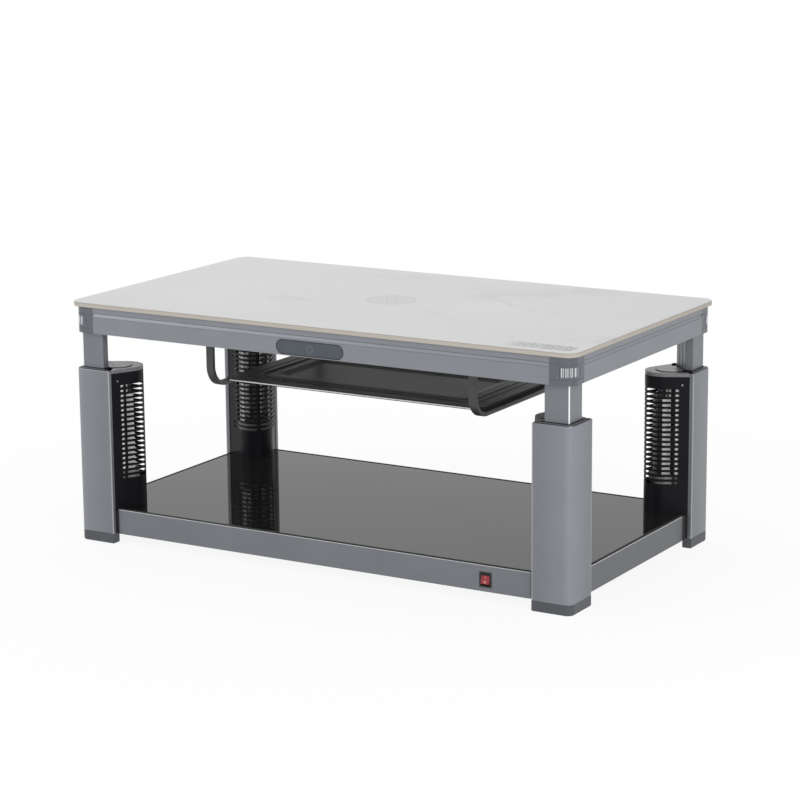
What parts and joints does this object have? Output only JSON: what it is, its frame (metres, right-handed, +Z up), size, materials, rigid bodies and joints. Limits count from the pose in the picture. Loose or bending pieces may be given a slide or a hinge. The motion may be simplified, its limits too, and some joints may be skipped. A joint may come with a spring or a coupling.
{
  "type": "heated lifting table",
  "caption": "Low heated table whose stone top lifts on telescoping corner legs, with quartz heaters in the legs, a glass shelf in the base and a tray hung under the top",
  "frame": {"origin": "On the floor, under the middle of the table top.", "axes": "+X runs to the right along the table's length, +Y to the back, +Z up. The front, at -Y, has the touch panel and the mains switch."},
  "size_m": [1.38, 0.76, 0.603],
  "materials": {
    "black_plastic": "satin",
    "cap_grey": "satin",
    "guard": "satin",
    "ceramic": "matt",
    "quartz": "gloss",
    "bright_sheet": "polished",
    "drive_steel": "satin",
    "dark_profile": "satin",
    "glass_black": "gloss",
    "galvanised": "satin",
    "light_profile": "satin",
    "stone": "satin",
    "frame_steel": "matt",
    "bracket": "satin",
    "panel_gloss": "gloss",
    "tray_dark": "satin",
    "hanger_dark": "satin",
    "column": "satin",
    "red_plastic": "gloss"
  },
  "bodies": {
    "base": {"base_pan": "galvanised", "base_rail_front": "dark_profile", "base_rail_left": "dark_profile", "base_rail_rear": "dark_profile", "base_rail_right": "dark_profile", "feet": "black_plastic", "heat_reflectors": "bright_sheet", "heater_caps": "cap_grey", "heater_guards": "guard", "heater_sockets": "ceramic", "heating_tubes": "quartz", "leg_casing_front_left": "light_profile", "leg_casing_front_right": "light_profile", "leg_casing_rear_left": "light_profile", "leg_casing_rear_right": "light_profile", "leg_collars": "black_plastic", "lift_drives": "drive_steel", "power_inlet": "black_plastic", "rail_connectors": "black_plastic", "shelf_glass": "glass_black", "switch_housing": "black_plastic", "terminal_boxes": "black_plastic"},
    "table": {"apron_front": "light_profile", "apron_left": "light_profile", "apron_rear": "light_profile", "apron_right": "light_profile", "column_front_left": "column", "column_front_right": "column", "column_rear_left": "column", "column_rear_right": "column", "column_shoes": "black_plastic", "control_box": "black_plastic", "control_panel": "panel_gloss", "corner_brackets": "bracket", "hanger_left": "hanger_dark", "hanger_right": "hanger_dark", "lift_rods": "drive_steel", "stone_top": "stone", "top_frame": "frame_steel", "tray": "tray_dark"},
    "rocker": {"switch_rocker": "red_plastic"}
  },
  "joints": [
    {"name": "lift", "type": "slide", "parent": "base", "child": "table", "axis": [0, 0, 1], "range_m": [-0.085, 0.156]},
    {"name": "mains_switch", "type": "hinge", "parent": "base", "child": "rocker", "pos_m": [0.458, -0.355, 0.0525], "axis": [1, 0, 0], "range_deg": [0, 20]}
  ]
}
